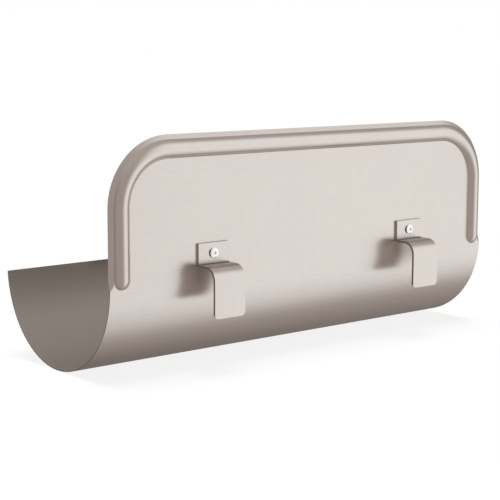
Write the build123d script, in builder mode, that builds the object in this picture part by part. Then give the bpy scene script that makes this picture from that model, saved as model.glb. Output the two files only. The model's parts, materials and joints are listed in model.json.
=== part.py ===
"""Gutter overflow guard.

A half-round trough piece lies in the gutter. Its front wall rises to a tall, round-cornered
splash plate, stiffened by a pressed bead and a turned-back rim. Two strap hooks are riveted to
the plate and reach over the gutter's front roll.

Millimetres. X runs along the gutter, +Z is up and the plate's face looks along -Y.
The origin is at mid-length on the trough's axis, which is the gutter's own axis.
"""
import os
from math import asin, degrees, sqrt

from build123d import *

os.makedirs("parts", exist_ok=True)

# Folded sheet
length = 400.0  # along the gutter
trough_radius = 73.5  # outside, lies in a gutter of this radius or a little more
sheet = 0.8
plate_top = 109.5  # above the trough's axis
corner_radius = 52.5  # upper corners of the plate
back_drop = 5.3  # back edge below the trough's axis

# Turned-back rim, from its fold to the plate's outline
rim_width = 3.7  # seen from the front
rim_setback = 2.2  # outline behind the plate's face
crease_inner = 1.2  # height at which the rim's lower crease leaves the bead
crease_outer = -1.9  # height at which that crease runs out at the plate's side

# Pressed bead, just inside the rim
bead_height = 4.6  # above the plate's face
bead_crown = 7.5  # radius on the face
bead_foot = 0.8  # radius on the face
bead_tip = -2.2  # lowest point of the bead's round ends
bead_land = 1.5  # flat sheet formed together with the bead, inside it

# Strap hooks
hook_spacing = 213.0  # between the centrelines
strap_width = 29.0
strap = 2.0
tab_top = 26.2
run_top = 10.1  # upper face of the run across the gutter's roll
fold_radius = 0.6  # inside, at the foot of the tab
roll_gap = 20.0  # between plate and leaf, for the gutter's front roll
shoulder_radius = 8.7  # inside, over the roll
leaf_bottom = -28.8
leaf_corner = 3.2

# Blind rivets through tab and plate
rivet_shank = 4.0  # diameter
rivet_clearance = 0.1  # round the shank
rivet_head = 8.0  # diameter
rivet_head_edge = 1.0
rivet_head_height = 1.7
rivet_tail = 6.0  # diameter of the set tail
rivet_tail_length = 3.6
rivet_tail_bevel = 0.8
mandrel = 2.2  # diameter
mandrel_clearance = 0.05
mandrel_recess = 0.5  # broken end below the top of the rivet's head
mandrel_head = 3.6  # diameter
mandrel_head_end = 2.6  # diameter to which the head tapers
mandrel_head_length = 1.6

# Places that follow from the sizes above
face = -trough_radius
bead_corner = sqrt(bead_height * (2 * bead_crown - bead_height))
bead_half = sqrt(bead_height * (2 * (bead_crown + bead_foot) - bead_height))
bead_inset = rim_width + bead_corner
bead_x = length / 2 - bead_inset
bead_end = bead_tip + bead_half
fold_x = bead_x + bead_half
rivet_z = (run_top + tab_top) / 2
rivet_hole = rivet_shank + 2 * rivet_clearance
grip = strap + sheet
band_inset = bead_inset + bead_half
clear_x = length / 2 + sheet
clear_z = plate_top + sheet
forward = Vector(0, -1, 0)
face_plane = Plane.XZ.offset(-face)
tab_face = face - strap
leaf_back = face - roll_gap


def plate_line(inset, bottom, plane=Plane.XY):
    """Outline of the splash plate, set in by the same amount all round, down to a level."""
    side = length / 2 - inset
    top = plate_top - inset
    bend = corner_radius - inset
    with BuildLine(plane, mode=Mode.PRIVATE) as outline:
        Line((-side, bottom), (-side, top - bend))
        RadiusArc((-side, top - bend), (bend - side, top), bend)
        Line((bend - side, top), (side - bend, top))
        RadiusArc((side - bend, top), (side, top - bend), bend)
        Line((side, top - bend), (side, bottom))
    return outline.line


def formed_section(first, last):
    """Section of bead and rim between two distances from the bead's middle, y forward."""
    with BuildSketch(mode=Mode.PRIVATE) as section:
        with BuildLine() as front:
            Line((-bead_half - bead_land, 0), (-bead_corner, 0))
            ThreePointArc((-bead_corner, 0), (0, bead_height), (bead_corner, 0))
            Line((bead_corner, 0), (bead_inset, -rim_setback))
            fillet(front.vertices().sort_by(Axis.X)[1:3], bead_foot)
            offset(amount=sheet, kind=Kind.INTERSECTION, side=Side.RIGHT)
        make_face()
        with Locations(((first + last) / 2, 0)):
            Rectangle(last - first, 4 * bead_height, mode=Mode.INTERSECT)
    return section.sketch


# One sheet: trough, plate, bead and rim
with BuildPart() as guard_sheet:
    # Trough and plain plate
    with BuildSketch(Plane.YZ):
        with BuildLine():
            Line((face, plate_top), (face, 0))
            CenterArc((0, 0), trough_radius, 180, 180 - degrees(asin(back_drop / trough_radius)))
            offset(amount=sheet, kind=Kind.INTERSECTION, side=Side.LEFT)
        make_face()
    extrude(amount=length / 2, both=True)

    # Outside the bead's inner foot and the rim's fold the plain plate is cut away
    with BuildSketch(face_plane):
        with BuildLine():
            add(plate_line(band_inset, bead_end))
            Polyline(
                (band_inset - length / 2, bead_end),
                (-clear_x, bead_end),
                (-clear_x, clear_z),
                (clear_x, clear_z),
                (clear_x, bead_end),
                (length / 2 - band_inset, bead_end),
            )
        make_face()
        with Locations((-bead_x, bead_end), (bead_x, bead_end)):
            Circle(bead_half)
        for side in (-1, 1):
            with BuildLine():
                Polyline(
                    (side * fold_x, crease_inner),
                    (side * length / 2, crease_outer),
                    (side * clear_x, crease_outer),
                    (side * clear_x, bead_end),
                    (side * fold_x, bead_end),
                    close=True,
                )
            make_face()
    extrude(amount=2 * sheet, both=True, mode=Mode.SUBTRACT)

    # Bead and rim, formed together all the way round the plate
    with BuildSketch(Plane((-bead_x, face, bead_end), x_dir=(-1, 0, 0), z_dir=(0, 0, 1))):
        add(formed_section(-bead_half - bead_land, bead_inset))
    sweep(path=plate_line(bead_inset, bead_end, face_plane))

    # Round lower ends of the bead
    for x in (-bead_x, bead_x):
        with BuildSketch(Plane((x, face, bead_end), x_dir=(-1, 0, 0), z_dir=(0, 0, 1))):
            add(formed_section(-bead_half, 0))
        revolve(axis=Axis((x, face, bead_end), (0, 1, 0)), revolution_arc=180)

    # Lower ends of the rim, turning back into the plain sheet at the crease
    for side in (-1, 1):
        crease = Vector(side * (length / 2 - fold_x), 0, crease_outer - crease_inner)
        with BuildSketch(Plane((side * bead_x, face, bead_end), x_dir=(side, 0, 0), z_dir=(0, 0, -side))):
            add(formed_section(bead_half, bead_inset))
        with BuildSketch(Plane((side * fold_x, face, crease_inner), x_dir=crease, z_dir=crease.cross(forward))):
            with Locations((crease.length / 2, -sheet / 2)):
                Rectangle(crease.length, sheet)
        loft(ruled=True)

    # Rivet holes
    with BuildSketch(face_plane):
        with Locations((-hook_spacing / 2, rivet_z), (hook_spacing / 2, rivet_z)):
            Circle(rivet_hole / 2)
    extrude(amount=2 * sheet, both=True, mode=Mode.SUBTRACT)


def strap_hook(middle):
    """Strap folded forward over the gutter's roll, its tab flat against the plate."""
    run_under = run_top - strap
    with BuildPart() as hook:
        with BuildSketch(Plane.YZ.offset(middle - strap_width / 2)):
            with BuildLine() as strap_line:
                Polyline((face, tab_top), (face, run_under), (leaf_back, run_under), (leaf_back, leaf_bottom))
                shoulder, fold = strap_line.vertices().group_by(Axis.Y)[1].sort_by(Axis.X)
                fillet(fold, fold_radius + strap)
                fillet(shoulder, shoulder_radius)
                offset(amount=strap, side=Side.RIGHT)
            make_face()
        extrude(amount=strap_width)
        fillet(hook.edges().filter_by(Axis.Y).group_by(Axis.Z)[0], leaf_corner)
        with BuildSketch(face_plane):
            with Locations((middle, rivet_z)):
                Circle(rivet_hole / 2)
        extrude(amount=2 * strap, mode=Mode.SUBTRACT)
    return hook.part


def rivet_plane(middle):
    """Plane through a rivet's axis: x across the rivet, y out of the tab's face."""
    return Plane((middle, tab_face, rivet_z), x_dir=(1, 0, 0), z_dir=(0, 0, -1))


def blind_rivet(middle):
    """Hollow rivet through tab and plate, with its tail set behind the sheet."""
    tail_end = -grip - rivet_tail_length
    with BuildPart() as rivet:
        with BuildSketch(rivet_plane(middle)) as half:
            with BuildLine():
                TangentArc((0, rivet_head_height), (rivet_head / 2, rivet_head_edge), tangent=(1, 0))
                Polyline(
                    (rivet_head / 2, rivet_head_edge),
                    (rivet_head / 2, 0),
                    (rivet_shank / 2, 0),
                    (rivet_shank / 2, -grip),
                    (rivet_tail / 2, -grip),
                    (rivet_tail / 2, tail_end),
                    (0, tail_end),
                    (0, rivet_head_height),
                )
            make_face()
            tail_corners = half.vertices().filter_by_position(Axis.X, rivet_tail / 2, rivet_tail / 2)
            chamfer(tail_corners.sort_by(Axis.Y)[0], rivet_tail_bevel)
        revolve(axis=Axis((middle, tab_face, rivet_z), forward))
        with BuildSketch(face_plane):
            with Locations((middle, rivet_z)):
                Circle(mandrel / 2 + mandrel_clearance)
        extrude(amount=rivet_head_height + grip + rivet_tail_length, both=True, mode=Mode.SUBTRACT)
    return rivet.part


def broken_mandrel(middle):
    """What stays of the pulling mandrel: a stem in the bore and a head on the rivet's tail."""
    tail_end = -grip - rivet_tail_length
    head_end = tail_end - mandrel_head_length
    with BuildPart() as stem:
        with BuildSketch(rivet_plane(middle)):
            with BuildLine():
                Polyline(
                    (0, rivet_head_height - mandrel_recess),
                    (mandrel / 2, rivet_head_height - mandrel_recess),
                    (mandrel / 2, tail_end),
                    (mandrel_head / 2, tail_end),
                    (mandrel_head_end / 2, head_end),
                    (0, head_end),
                    close=True,
                )
            make_face()
        revolve(axis=Axis((middle, tab_face, rivet_z), forward))
    return stem.part


def keep(name, piece):
    """Label a finished piece and write it to its own file."""
    piece.label = name
    export_step(piece, f"parts/{name}.step")


keep("guard_sheet", guard_sheet.part)
for end, middle in (("left", -hook_spacing / 2), ("right", hook_spacing / 2)):
    keep(f"hook_{end}", strap_hook(middle))
    keep(f"rivet_{end}", blind_rivet(middle))
    keep(f"mandrel_{end}", broken_mandrel(middle))
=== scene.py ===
"""Finish, light and camera of the gutter overflow guard.

Metres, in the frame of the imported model: X along the gutter, +Z up, the splash plate's face
looks along -Y.
"""
import json
import math

import bpy
from mathutils import Matrix, Vector


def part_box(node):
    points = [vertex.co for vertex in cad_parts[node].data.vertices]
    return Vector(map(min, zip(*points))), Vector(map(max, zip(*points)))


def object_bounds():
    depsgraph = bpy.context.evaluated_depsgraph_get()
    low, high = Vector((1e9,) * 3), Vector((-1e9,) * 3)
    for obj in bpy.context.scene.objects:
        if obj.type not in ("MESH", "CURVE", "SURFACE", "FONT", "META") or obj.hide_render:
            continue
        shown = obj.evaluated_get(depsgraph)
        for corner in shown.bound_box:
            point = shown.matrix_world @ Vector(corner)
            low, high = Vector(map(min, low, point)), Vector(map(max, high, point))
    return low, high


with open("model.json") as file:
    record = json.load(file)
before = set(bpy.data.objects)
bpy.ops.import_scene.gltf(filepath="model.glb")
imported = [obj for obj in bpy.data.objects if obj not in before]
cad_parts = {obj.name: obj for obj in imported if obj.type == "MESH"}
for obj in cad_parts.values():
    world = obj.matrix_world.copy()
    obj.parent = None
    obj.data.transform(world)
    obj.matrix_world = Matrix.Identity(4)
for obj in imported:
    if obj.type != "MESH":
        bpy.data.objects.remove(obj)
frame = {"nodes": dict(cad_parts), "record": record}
cad_low, cad_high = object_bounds()


def radians(*angles):
    """Angles in radians, given in degrees."""
    return tuple(math.radians(angle) for angle in angles)


# Metres, and linear colours. In a pair of limits, a mask is full at the first one and none at the
# second.

# Camera, as found from the outline of the object in the photograph
CAMERA_PLACE = (-0.7424, -0.8844, 0.1770)
CAMERA_YAW = math.radians(39.70)  # from +Y towards +X
CAMERA_PITCH = math.radians(8.66)  # downward
CAMERA_ROLL = math.radians(0.16)
CAMERA_LENS = 98.6  # mm
SENSOR = 36.0  # mm across
CLIP_START, CLIP_END = 0.01, 100.0

# Soft boxes that the metal mirrors
WHITE = (1.0, 1.0, 1.0, 1.0)
BOX_SIDE = math.radians(35.0)  # middle of the front box, from -Y towards +X
BOX_LEFT = radians(6.0, -36.0)  # limits from that middle
BOX_RIGHT = radians(20.0, 47.0)
BOX_BOTTOM = radians(-20.0, -80.0)  # limits of both boxes, above the horizon
BOX_TOP = radians(31.0, 66.0)
REAR_BOX = 0.6  # level of the box behind the object, opposite the front one
REAR_LEFT = radians(10.0, 35.0)
REAR_RIGHT = radians(-45.0, -70.0)

# Room round the boxes
ROOM_FRONT = (0.41, 0.365, 0.35, 1.0)
ROOM_BACK = (0.20, 0.175, 0.165, 1.0)
TURN_LEFT = radians(-100.0, -140.0)  # from the front of the room to its back
TURN_RIGHT = radians(35.0, 115.0)
CEILING = (0.48, 0.44, 0.42, 1.0)
CEILING_RISE = radians(60.0, 15.0)  # from the ceiling to the walls

# Lamp and floor
SUN_STRENGTH = 2.8
SUN_ANGLE = math.radians(30.0)
SUN_PLACE = (0.0, 0.0, 2.0)
FLOOR_COLOR = (0.86, 0.86, 0.86, 1.0)
FLOOR_ROUGHNESS = 0.9
FLOOR_SHADOW = 0.15  # share of the shadow that the camera sees
FLOOR_RADIUS = 12.0
FLOOR_CORNERS = 96
FLOOR_GAP = 0.0003  # below the trough

# Directions on the object
LEFT, RIGHT, FRONT, BACK, UP = (-1, 0, 0), (1, 0, 0), (0, -1, 0), (0, 1, 0), (0, 0, 1)
ACROSS = (0, 1, 1)  # leaves out the place along the gutter

# Metals. Grains are per metre, and stretched along X, Y and Z.
SATIN = 0.27  # roughness
ZINC = (0.745, 0.69, 0.65, 1.0), (0.785, 0.735, 0.69, 1.0)  # darker and lighter clouds
RIVET = (0.96, 0.955, 0.95, 1.0)
STEEL = (0.80, 0.79, 0.78, 1.0)
EVEN = (1, 1, 1)
METALS = {
    "sheet": dict(tones=ZINC, roughness=SATIN, grains=900, stretch=(0.15, 0.8, 0.8), relief=0.001),
    "strap": dict(tones=ZINC, roughness=SATIN, grains=900, stretch=(0.8, 0.4, 0.4), relief=0.001),
    "rivet": dict(tones=(RIVET, RIVET), roughness=0.16, grains=1500, stretch=EVEN, relief=0.004),
    "mandrel": dict(tones=(STEEL, STEEL), roughness=0.35, grains=2500, stretch=EVEN, relief=0.05),
}
CLOUDS = 14.0  # per metre
CLOUD_DETAIL = 3.0
GRAIN_DETAIL = 2.0
STREAK = 0.05  # share by which the grain lightens and darkens the metal
GLOSS_RANGE = 0.03  # share by which the grain changes the roughness
RELIEF_HEIGHT = 0.0001

# Films on the sheet
INNER_SHADE = (0.59, 0.55, 0.52, 1.0)  # inner side darkened as painted shade of the trough's inside; its roughness below is the sheet's back
INNER_ROUGHNESS = 0.54
INNER_SIDE = (-0.06, -0.02)  # the inner side faces the trough's axis
CUT = (0.16, 0.14, 0.13, 1.0)  # cut edges
END_FACING = (1.0, 0.96)
BACK_EDGE_FACING = (1.0, 0.97)
BACK_EDGE_HEIGHT = (-0.01, -0.03)
HOOK_SHADOW = (0.44, 0.40, 0.375, 1.0)  # painted shadow of the hooks on the plate behind them
HOOK_SHADOW_FACING = (1.0, 0.9)
HOOK_SHADOW_SIDE = (0.010, 0.024)  # from a hook's middle
HOOK_SHADOW_TOP = (0.004, 0.012)
HOOK_SHADOW_BOTTOM = (0.002, -0.018)

# Films on the hooks' straps
STRAP_FACING = (1.0, 0.8)  # for the run's top and the leaf's back
RUN_TOP_SHADE = (0.22, 0.18, 0.16, 1.0)  # painted shade on top of the run
TAB_FOOT_SHADE = (0.20, 0.165, 0.15, 1.0)  # painted shade in the crease at the foot of the tab
FOOT_REACH = (-0.0775, -0.0810)
FOOT_HEIGHT = (0.0102, 0.0114)
LEAF_BACK_LIGHTENED = (0.86, 0.81, 0.78, 1.0)  # back of the leaf: rougher, and lighter as painted light on its reflection in the plate
DULL_ROUGHNESS = 0.5
SIDE_FACING = (1.0, 0.9)
LEAF_SIDE = (0.40, 0.36, 0.34, 1.0)
TAB_SIDE = (0.62, 0.57, 0.54, 1.0)
TAB_HEIGHT = (0.016, 0.009)  # above it is the tab

# Rivets
RIVET_HEAD_SHADE = (0.06, 0.055, 0.05, 1.0)  # painted shade round the side of the head
HEAD_SIDE_FACING = (0.95, 0.6)
DOME_FACING = (0.93, 0.9)
DOME_FLATNESS = 0.55  # share by which the dome's shading turns to the front


def add_node(tree, kind, inputs, **settings):
    """New shader node. Each of its inputs is a plain value or another node's output."""
    node = tree.nodes.new(kind)
    for name, value in settings.items():
        setattr(node, name, value)
    for name, value in inputs.items():
        if isinstance(value, bpy.types.NodeSocket):
            tree.links.new(value, node.inputs[name])
        else:
            node.inputs[name].default_value = value
    return node


def calculate(tree, operation, *values):
    """Result of an operation on one or two numbers."""
    node = add_node(tree, "ShaderNodeMath", dict(enumerate(values)), operation=operation)
    return node.outputs["Value"]


def mix(tree, kind, share, first, second):
    """Blend from a first colour, number or vector to a second one."""
    inputs = {"Factor": share, "A": first, "B": second}
    node = add_node(tree, "ShaderNodeMix", inputs, data_type=kind)
    return node.outputs["Result"]


def spread(tree, value, middle, share):
    """Number that a value from 0 to 1 moves up and down round a middle, by a share of it."""
    inputs = {"Value": value, "To Min": middle * (1.0 - share), "To Max": middle * (1.0 + share)}
    node = add_node(tree, "ShaderNodeMapRange", inputs)
    return node.outputs["Result"]


def mask(tree, value, limits):
    """1 at the limit for full and beyond, falling smoothly to 0 at the limit for none."""
    full, none = limits
    inputs = {"Value": value, "From Min": none, "From Max": full}
    node = add_node(tree, "ShaderNodeMapRange", inputs, interpolation_type="SMOOTHSTEP")
    return node.outputs["Result"]


def overlap(tree, *masks):
    """Mask that is 1 where all of these are."""
    common = masks[0]
    for other in masks[1:]:
        common = calculate(tree, "MULTIPLY", common, other)
    return common


def between(tree, value, *both_limits):
    """Mask of the values between two pairs of limits."""
    return overlap(tree, *(mask(tree, value, limits) for limits in both_limits))


def along(tree, vector, direction):
    """Dot product of the surface's Position or True Normal with another vector."""
    surface = tree.nodes.new("ShaderNodeNewGeometry")
    inputs = {0: surface.outputs[vector], 1: direction}
    node = add_node(tree, "ShaderNodeVectorMath", inputs, operation="DOT_PRODUCT")
    return node.outputs["Value"]


def facing(tree, direction, limits):
    """Mask of the surface that faces a direction."""
    return mask(tree, along(tree, "True Normal", direction), limits)


def film(tree, where, color, roughness=SATIN):
    """Other colour and roughness where the mask is 1, such as painted shade or a dark cut edge."""
    shader = tree.nodes["Principled BSDF"]
    for name, kind, value in (("Base Color", "RGBA", color), ("Roughness", "FLOAT", roughness)):
        metal_below = shader.inputs[name].links[0].from_socket
        tree.links.new(mix(tree, kind, where, metal_below, value), shader.inputs[name])


def new_material(name):
    """Material with its node tree and its shader."""
    material = bpy.data.materials.new(name)
    material.use_nodes = True
    return material, material.node_tree, material.node_tree.nodes["Principled BSDF"]


def noise(tree, place, scale, detail):
    """Soft random pattern, from 0 to 1."""
    inputs = {"Vector": place, "Scale": scale, "Detail": detail}
    node = add_node(tree, "ShaderNodeTexNoise", inputs)
    return node.outputs["Fac"]


def metal(name, tones, roughness, grains, stretch, relief):
    """Metal with a faint cloudy tone, a fine grain and slightly uneven gloss."""
    material, tree, shader = new_material(name)
    shader.inputs["Metallic"].default_value = 1.0
    place = tree.nodes.new("ShaderNodeTexCoord").outputs["Object"]
    stretched = add_node(tree, "ShaderNodeMapping", {"Vector": place, "Scale": stretch})
    clouds = noise(tree, place, CLOUDS, CLOUD_DETAIL)
    grain = noise(tree, stretched.outputs["Vector"], grains, GRAIN_DETAIL)
    inputs = {"Color": mix(tree, "RGBA", clouds, *tones), "Value": spread(tree, grain, 1.0, STREAK)}
    streaked = add_node(tree, "ShaderNodeHueSaturation", inputs)
    inputs = {"Height": grain, "Strength": relief, "Distance": RELIEF_HEIGHT}
    bump = add_node(tree, "ShaderNodeBump", inputs)
    tree.links.new(streaked.outputs["Color"], shader.inputs["Base Color"])
    tree.links.new(spread(tree, grain, roughness, GLOSS_RANGE), shader.inputs["Roughness"])
    tree.links.new(bump.outputs["Normal"], shader.inputs["Normal"])
    return material


def hook_shadow_mask(tree):
    """Mask of the painted shadow of the hooks on the plate's face behind them."""
    low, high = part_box("hook_right")
    from_middle = calculate(tree, "ABSOLUTE", along(tree, "Position", RIGHT))
    from_hook = calculate(tree, "SUBTRACT", from_middle, (low[0] + high[0]) / 2)
    beside = mask(tree, calculate(tree, "ABSOLUTE", from_hook), HOOK_SHADOW_SIDE)
    level = between(tree, along(tree, "Position", UP), HOOK_SHADOW_TOP, HOOK_SHADOW_BOTTOM)
    return overlap(tree, facing(tree, FRONT, HOOK_SHADOW_FACING), beside, level)


def finish_sheet(tree):
    """Rougher inner side darkened with painted shade, painted shadow of the hooks on the plate, and
    dark cut edges at the ends and the back.
    """
    surface = tree.nodes.new("ShaderNodeNewGeometry")
    inputs = {0: surface.outputs["Position"], 1: ACROSS}
    from_axis = add_node(tree, "ShaderNodeVectorMath", inputs, operation="MULTIPLY")
    inner_side = facing(tree, from_axis.outputs["Vector"], INNER_SIDE)
    # painted shade on the trough's inner side, with its rougher gloss
    film(tree, inner_side, INNER_SHADE, INNER_ROUGHNESS)
    # painted shadow of the hooks on the plate
    film(tree, hook_shadow_mask(tree), HOOK_SHADOW)
    for end in (LEFT, RIGHT):
        film(tree, facing(tree, end, END_FACING), CUT)
    low_down = mask(tree, along(tree, "Position", UP), BACK_EDGE_HEIGHT)
    film(tree, overlap(tree, facing(tree, UP, BACK_EDGE_FACING), low_down), CUT)


def finish_strap(tree):
    """Painted shade on the run's top and at the tab's foot, a rougher back lightened with painted
    light, and darker sides.
    """
    # painted shade on top of the run
    film(tree, facing(tree, UP, STRAP_FACING), RUN_TOP_SHADE)
    # painted shade in the crease at the tab's foot
    reach = mask(tree, along(tree, "Position", BACK), FOOT_REACH)
    rise = mask(tree, along(tree, "Position", UP), FOOT_HEIGHT)
    film(tree, overlap(tree, reach, rise), TAB_FOOT_SHADE)
    # painted light on the leaf's back, lightening its reflection in the plate
    film(tree, facing(tree, BACK, STRAP_FACING), LEAF_BACK_LIGHTENED, DULL_ROUGHNESS)
    for side in (LEFT, RIGHT):
        edge = facing(tree, side, SIDE_FACING)
        tab = mask(tree, along(tree, "Position", UP), TAB_HEIGHT)
        film(tree, edge, LEAF_SIDE)
        film(tree, overlap(tree, edge, tab), TAB_SIDE)


def finish_rivet(tree):
    """Painted shade round the side of the head, and shading of a flatter dome."""
    # painted shade round the side of the rivet head
    for side in (LEFT, RIGHT):
        film(tree, facing(tree, side, HEAD_SIDE_FACING), RIVET_HEAD_SHADE)
    normal = tree.nodes.new("ShaderNodeNewGeometry").outputs["Normal"]
    share = calculate(tree, "MULTIPLY", facing(tree, FRONT, DOME_FACING), DOME_FLATNESS)
    tree.links.new(mix(tree, "VECTOR", share, normal, FRONT), tree.nodes["Bump"].inputs["Normal"])


def dress(nodes_by_name):
    """Give every CAD node the finish of its slot."""
    finishes = {slot: metal(slot, **look) for slot, look in METALS.items()}
    finish_sheet(finishes["sheet"].node_tree)
    finish_strap(finishes["strap"].node_tree)
    finish_rivet(finishes["rivet"].node_tree)
    slots = {row["node"]: row["material_slot"] for row in frame["record"]["subparts"]}
    for name, node in nodes_by_name.items():
        node.data.materials.clear()
        node.data.materials.append(finishes[slots[name]])


def light_world():
    """White round the object. The metal mirrors it as a large soft box in front on the right and a
    weaker one behind, in a darker room with a paler ceiling."""
    world = bpy.data.worlds.new("studio")
    bpy.context.scene.world = world
    world.use_nodes = True
    tree = world.node_tree
    direction = tree.nodes.new("ShaderNodeTexCoord").outputs["Generated"]
    inputs = {"Vector": direction, "Rotation": (0.0, 0.0, -BOX_SIDE)}
    rotated = add_node(tree, "ShaderNodeMapping", inputs)
    parts = add_node(tree, "ShaderNodeSeparateXYZ", {"Vector": rotated.outputs["Vector"]})
    x, y, z = parts.outputs
    side = calculate(tree, "ARCTAN2", x, calculate(tree, "MULTIPLY", y, -1.0))
    rear_side = calculate(tree, "ARCTAN2", calculate(tree, "MULTIPLY", x, -1.0), y)
    height = calculate(tree, "ARCSINE", z)

    front_box = between(tree, side, BOX_LEFT, BOX_RIGHT)
    rear_box = between(tree, rear_side, REAR_LEFT, REAR_RIGHT)
    rear_box = calculate(tree, "MULTIPLY", rear_box, REAR_BOX)
    upright = between(tree, height, BOX_BOTTOM, BOX_TOP)
    boxes = overlap(tree, calculate(tree, "MAXIMUM", front_box, rear_box), upright)
    walls = mix(tree, "RGBA", between(tree, side, TURN_LEFT, TURN_RIGHT), ROOM_BACK, ROOM_FRONT)
    room = mix(tree, "RGBA", mask(tree, height, CEILING_RISE), walls, CEILING)

    path = tree.nodes.new("ShaderNodeLightPath").outputs
    mirrored = calculate(tree, "MAXIMUM", path["Is Glossy Ray"], path["Is Transmission Ray"])
    white = calculate(tree, "MAXIMUM", path["Is Camera Ray"], overlap(tree, mirrored, boxes))
    tree.links.new(mix(tree, "RGBA", white, room, WHITE), tree.nodes["Background"].inputs["Color"])


def lamp():
    """Soft top light on the floor."""
    data = bpy.data.lights.new("top", "SUN")
    data.energy = SUN_STRENGTH
    data.angle = SUN_ANGLE
    sun = bpy.data.objects.new("top", data)
    sun.location = SUN_PLACE
    sun.visible_glossy = False
    bpy.context.scene.collection.objects.link(sun)


def floor():
    """Pale ground under the trough. The camera sees it white, with the object's soft shadow."""
    place = (0, 0, cad_low.z - FLOOR_GAP)
    bpy.ops.mesh.primitive_circle_add(
        vertices=FLOOR_CORNERS, radius=FLOOR_RADIUS, fill_type="NGON", location=place
    )
    ground = bpy.context.object
    ground.name = "floor"
    material, tree, shader = new_material("floor")
    shader.inputs["Base Color"].default_value = FLOOR_COLOR
    shader.inputs["Roughness"].default_value = FLOOR_ROUGHNESS
    shader.inputs["Specular IOR Level"].default_value = 0.0
    white = tree.nodes.new("ShaderNodeEmission")
    path = tree.nodes.new("ShaderNodeLightPath").outputs
    share = calculate(tree, "MULTIPLY", path["Is Camera Ray"], 1.0 - FLOOR_SHADOW)
    inputs = {"Fac": share, 1: shader.outputs["BSDF"], 2: white.outputs["Emission"]}
    blend = add_node(tree, "ShaderNodeMixShader", inputs)
    tree.links.new(blend.outputs["Shader"], tree.nodes["Material Output"].inputs["Surface"])
    ground.data.materials.append(material)
    ground.visible_glossy = False


def camera():
    """Camera at the photograph's angle, turned by yaw, pitch and roll."""
    data = bpy.data.cameras.new("camera")
    data.sensor_width = SENSOR
    data.lens = CAMERA_LENS
    data.clip_start = CLIP_START
    data.clip_end = CLIP_END
    eye = bpy.data.objects.new("camera", data)
    forward = Vector((
        math.sin(CAMERA_YAW) * math.cos(CAMERA_PITCH),
        math.cos(CAMERA_YAW) * math.cos(CAMERA_PITCH),
        -math.sin(CAMERA_PITCH),
    ))
    right = Vector((math.cos(CAMERA_YAW), -math.sin(CAMERA_YAW), 0.0))
    up = right.cross(forward)
    rolled_right = right * math.cos(CAMERA_ROLL) + up * math.sin(CAMERA_ROLL)
    rolled_up = up * math.cos(CAMERA_ROLL) - right * math.sin(CAMERA_ROLL)
    pose = Matrix((rolled_right, rolled_up, -forward)).transposed().to_4x4()
    pose.translation = CAMERA_PLACE
    eye.matrix_world = pose
    bpy.context.scene.collection.objects.link(eye)
    bpy.context.scene.camera = eye


bpy.context.scene.view_settings.view_transform = "Standard"
dress(frame["nodes"])
light_world()
lamp()
floor()
camera()
